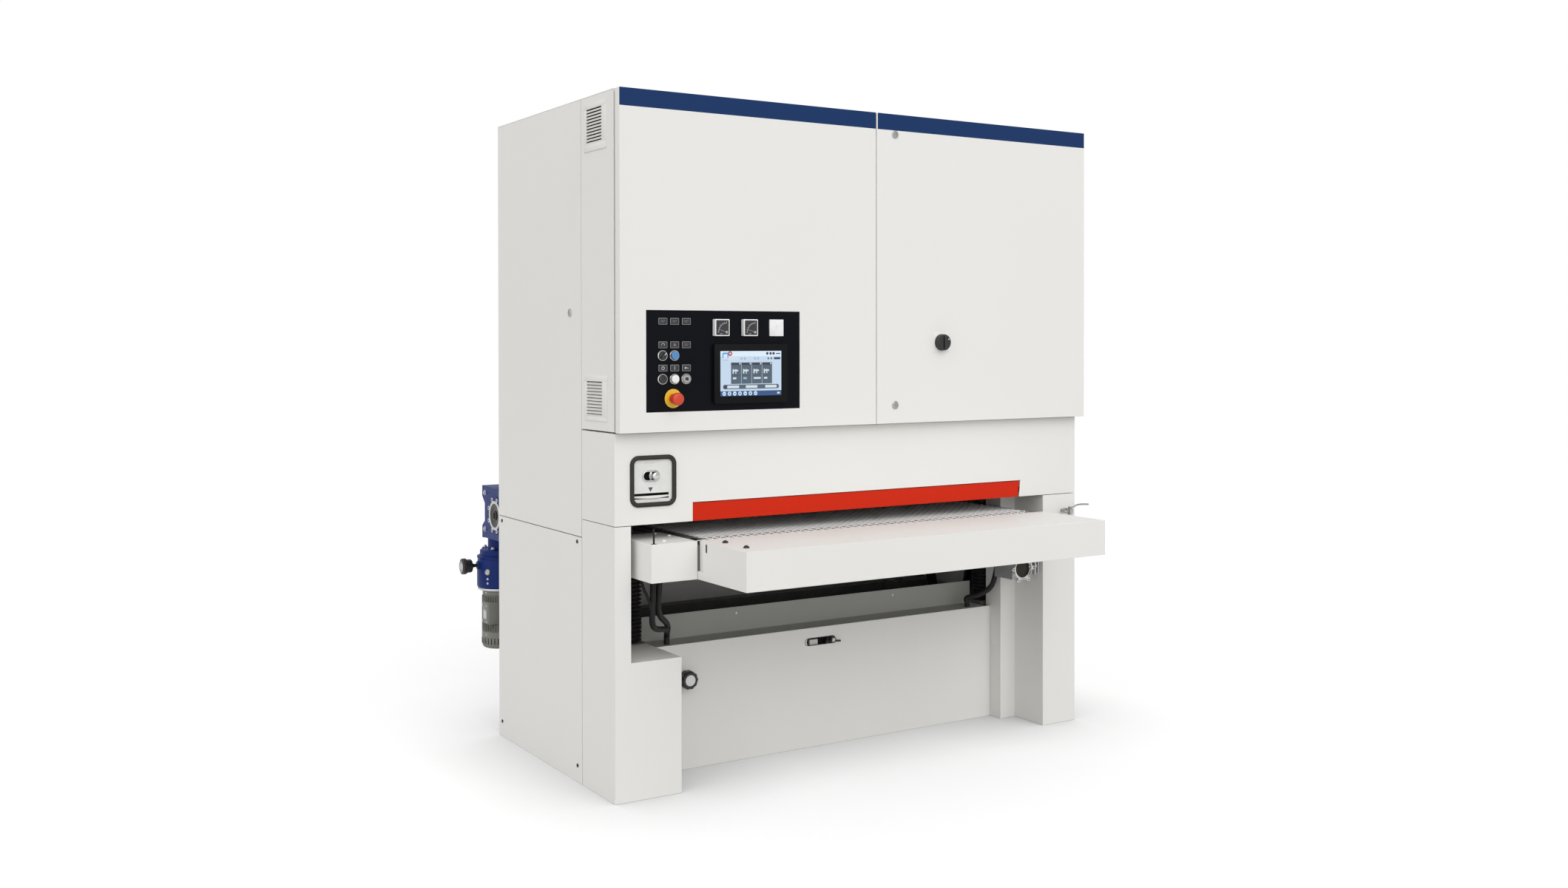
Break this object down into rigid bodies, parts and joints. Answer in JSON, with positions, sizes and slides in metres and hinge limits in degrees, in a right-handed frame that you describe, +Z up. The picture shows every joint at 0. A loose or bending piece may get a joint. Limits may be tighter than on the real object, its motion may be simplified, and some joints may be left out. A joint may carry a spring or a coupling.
{
  "type": "wide-belt sander",
  "caption": "Wide-belt drum sander for board faces: a white cabinet with control panel over a rising feed-belt table.",
  "frame": {"origin": "middle of the machine's outline, on the floor", "axes": "+Z up, +X to the operator's right, +Y from the infeed side to the outfeed side"},
  "size_m": [1.953, 1.8634, 2.3053],
  "materials": {
    "white_paint": "fine textured off-white powder coat",
    "frame_paint": "grey enamel",
    "red_paint": "red enamel",
    "blue_paint": "blue machine enamel",
    "bright_steel": "bright turned steel",
    "gauge_metal": "satin plate",
    "roller_metal": "turned",
    "drum_rubber": "ground rubber cover",
    "belt_rubber": "matt black",
    "feed_belt_rubber": "light grey rough-top",
    "abrasive": "abrasive cloth",
    "black_plastic": "black moulded",
    "panel_plastic": "dark glossy overlay",
    "red_plastic": "red",
    "blue_plastic": "blue",
    "white_plastic": "white"
  },
  "bodies": {
    "frame_body": {"main_frame": "frame_paint", "left_front_cover": "white_paint", "right_front_cover": "white_paint", "lower_front_panel": "white_paint", "under_table_tray": "frame_paint", "left_lower_panel": "white_paint", "right_side_panel": "white_paint", "rear_upper_panel": "white_paint", "rear_lower_panel": "white_paint", "top_cover": "white_paint", "hood_panel": "white_paint", "electrical_cabinet": "white_paint", "gauge_plate": "gauge_metal", "sanding_head_frame": "frame_paint", "belt_change_bar": "red_paint", "front_sanding_belt": "abrasive", "rear_sanding_belt": "abrasive", "main_motor": "blue_paint", "drive_belt": "belt_rubber", "air_valve": "bright_steel", "left_bellows": "belt_rubber", "right_bellows": "belt_rubber", "left_hoses": "belt_rubber", "right_hose": "belt_rubber"},
    "table_body": {"table_frame": "frame_paint", "infeed_shelf": "white_paint", "table_side_box": "white_paint", "feed_belt": "feed_belt_rubber", "worm_gearbox": "blue_paint", "feed_motor": "blue_paint", "lift_gearbox": "frame_paint"},
    "left_door_body": {"left_front_door": "white_paint", "control_panel": "panel_plastic", "touch_screen": "panel_plastic"},
    "right_door_body": {"right_front_door": "white_paint"},
    "side_door_body": {"side_door": "white_paint"},
    "front_contact_drum_body": {"front_contact_drum": "drum_rubber"},
    "rear_contact_drum_body": {"rear_contact_drum": "drum_rubber"},
    "front_tension_roller_body": {"front_tension_roller": "roller_metal"},
    "rear_tension_roller_body": {"rear_tension_roller": "roller_metal"},
    "motor_pulley_body": {"motor_pulley": "bright_steel"},
    "pressure_roller_body": {"pressure_roller": "drum_rubber"},
    "safety_bar_body": {"safety_bar": "red_paint"},
    "stop_button_body": {"stop_button": "red_plastic"},
    "selector_knob_body": {"selector_knob": "black_plastic"},
    "blue_button_body": {"blue_button": "blue_plastic"},
    "black_button_body": {"black_button": "black_plastic"},
    "white_button_body": {"white_button": "white_plastic"},
    "key_switch_body": {"key_switch": "bright_steel"},
    "main_switch_knob_body": {"main_switch_knob": "black_plastic"},
    "upper_door_lock_body": {"upper_door_lock": "bright_steel"},
    "lower_door_lock_body": {"lower_door_lock": "bright_steel"},
    "side_door_lock_body": {"side_door_lock": "bright_steel"},
    "drive_roller_body": {"drive_roller": "bright_steel"},
    "idle_roller_body": {"idle_roller": "bright_steel"},
    "variator_handwheel_body": {"variator_handwheel": "black_plastic"},
    "front_handwheel_body": {"front_handwheel": "black_plastic"},
    "slot_lever_body": {"slot_lever": "black_plastic"},
    "air_valve_lever_body": {"air_valve_lever": "bright_steel"},
    "gauge_slider_body": {"gauge_slider": "bright_steel"}
  },
  "joints": [
    {"name": "table_lift", "type": "slide", "parent": "frame_body", "child": "table_body", "axis": [0, 0, 1], "range_m": [-0.115, 0.045], "deforming": ["left_bellows", "right_bellows", "left_hoses", "right_hose"]},
    {"name": "left_door_hinge", "type": "hinge", "parent": "frame_body", "child": "left_door_body", "pos_m": [-0.9625, -0.5413, 1.1535], "axis": [0, 0, -1], "range_deg": [0, 110]},
    {"name": "right_door_hinge", "type": "hinge", "parent": "frame_body", "child": "right_door_body", "pos_m": [0.9509, -0.5413, 1.1535], "axis": [0, 0, 1], "range_deg": [0, 110]},
    {"name": "side_door_hinge", "type": "hinge", "parent": "frame_body", "child": "side_door_body", "pos_m": [-0.9685, 0.4424, 0.8045], "axis": [0, 0, -1], "range_deg": [0, 120]},
    {"name": "safety_bar_hinge", "type": "hinge", "parent": "frame_body", "child": "safety_bar_body", "pos_m": [-0.6978, -0.5173, 0.913], "axis": [1, 0, 0], "range_deg": [0, 12], "stiffness_Nm_per_rad": 4},
    {"name": "front_drum_spin", "type": "hinge", "parent": "frame_body", "child": "front_contact_drum_body", "pos_m": [-0.6975, -0.0993, 0.976], "axis": [1, 0, 0], "continuous": true},
    {"name": "rear_drum_spin", "type": "hinge", "parent": "frame_body", "child": "rear_contact_drum_body", "pos_m": [-0.6975, 0.2507, 0.976], "axis": [1, 0, 0], "continuous": true},
    {"name": "front_tension_spin", "type": "hinge", "parent": "frame_body", "child": "front_tension_roller_body", "pos_m": [-0.6975, -0.0993, 2.016], "axis": [1, 0, 0], "continuous": true},
    {"name": "rear_tension_spin", "type": "hinge", "parent": "frame_body", "child": "rear_tension_roller_body", "pos_m": [-0.6975, 0.2507, 2.016], "axis": [1, 0, 0], "continuous": true},
    {"name": "motor_spin", "type": "hinge", "parent": "frame_body", "child": "motor_pulley_body", "pos_m": [0.7775, 0.0757, 0.3], "axis": [1, 0, 0], "continuous": true},
    {"name": "pressure_roller_spin", "type": "hinge", "parent": "frame_body", "child": "pressure_roller_body", "pos_m": [-0.6975, -0.2543, 0.896], "axis": [1, 0, 0], "continuous": true},
    {"name": "feed_drive_spin", "type": "hinge", "parent": "table_body", "child": "drive_roller_body", "pos_m": [-0.6955, 0.7442, 0.764], "axis": [1, 0, 0], "continuous": true},
    {"name": "feed_idle_spin", "type": "hinge", "parent": "table_body", "child": "idle_roller_body", "pos_m": [-0.6955, -0.5693, 0.764], "axis": [1, 0, 0], "continuous": true},
    {"name": "variator_wheel_turn", "type": "hinge", "parent": "table_body", "child": "variator_handwheel_body", "pos_m": [-0.9025, 0.8467, 0.562], "axis": [1, 0, 0], "continuous": true},
    {"name": "stop_button_push", "type": "slide", "parent": "left_door_body", "child": "stop_button_body", "axis": [0, 1, 0], "range_m": [0, 0.006]},
    {"name": "selector_turn", "type": "hinge", "parent": "left_door_body", "child": "selector_knob_body", "pos_m": [-0.8245, -0.5651, 1.393], "axis": [0, 1, 0], "range_deg": [-45, 45]},
    {"name": "blue_button_push", "type": "slide", "parent": "left_door_body", "child": "blue_button_body", "axis": [0, 1, 0], "range_m": [0, 0.004], "stiffness_N_per_m": 300},
    {"name": "black_button_push", "type": "slide", "parent": "left_door_body", "child": "black_button_body", "axis": [0, 1, 0], "range_m": [0, 0.004], "stiffness_N_per_m": 300},
    {"name": "white_button_push", "type": "slide", "parent": "left_door_body", "child": "white_button_body", "axis": [0, 1, 0], "range_m": [0, 0.004], "stiffness_N_per_m": 300},
    {"name": "key_switch_turn", "type": "hinge", "parent": "left_door_body", "child": "key_switch_body", "pos_m": [-0.741, -0.5651, 1.319], "axis": [0, 1, 0], "range_deg": [0, 90]},
    {"name": "main_switch_turn", "type": "hinge", "parent": "right_door_body", "child": "main_switch_knob_body", "pos_m": [0.2775, -0.5674, 1.433], "axis": [0, 1, 0], "range_deg": [0, 90]},
    {"name": "upper_lock_turn", "type": "hinge", "parent": "right_door_body", "child": "upper_door_lock_body", "pos_m": [0.0765, -0.5674, 2.149], "axis": [0, 1, 0], "range_deg": [0, 90]},
    {"name": "lower_lock_turn", "type": "hinge", "parent": "right_door_body", "child": "lower_door_lock_body", "pos_m": [0.0765, -0.5674, 1.2166], "axis": [0, 1, 0], "range_deg": [0, 90]},
    {"name": "side_lock_turn", "type": "hinge", "parent": "side_door_body", "child": "side_door_lock_body", "pos_m": [-0.9725, -0.1933, 1.531], "axis": [1, 0, 0], "range_deg": [0, 90]},
    {"name": "front_wheel_turn", "type": "hinge", "parent": "frame_body", "child": "front_handwheel_body", "pos_m": [-0.6175, -0.3101, 0.31], "axis": [0, 1, 0], "continuous": true},
    {"name": "slot_lever_slide", "type": "slide", "parent": "frame_body", "child": "slot_lever_body", "axis": [1, 0, 0], "range_m": [-0.085, 0.005]},
    {"name": "air_lever_turn", "type": "hinge", "parent": "frame_body", "child": "air_valve_lever_body", "pos_m": [0.8835, -0.5743, 0.8], "axis": [0, 0, -1], "range_deg": [0, 90]},
    {"name": "gauge_slide", "type": "slide", "parent": "frame_body", "child": "gauge_slider_body", "axis": [1, 0, 0], "range_m": [-0.026, 0]}
  ],
  "couplings": [
    {"joint": "rear_drum_spin", "follows": "front_drum_spin", "ratio": 1},
    {"joint": "front_tension_spin", "follows": "front_drum_spin", "ratio": 1.8333},
    {"joint": "rear_tension_spin", "follows": "front_drum_spin", "ratio": 1.8333},
    {"joint": "motor_spin", "follows": "front_drum_spin", "ratio": 0.8571},
    {"joint": "feed_idle_spin", "follows": "feed_drive_spin", "ratio": 1}
  ]
}
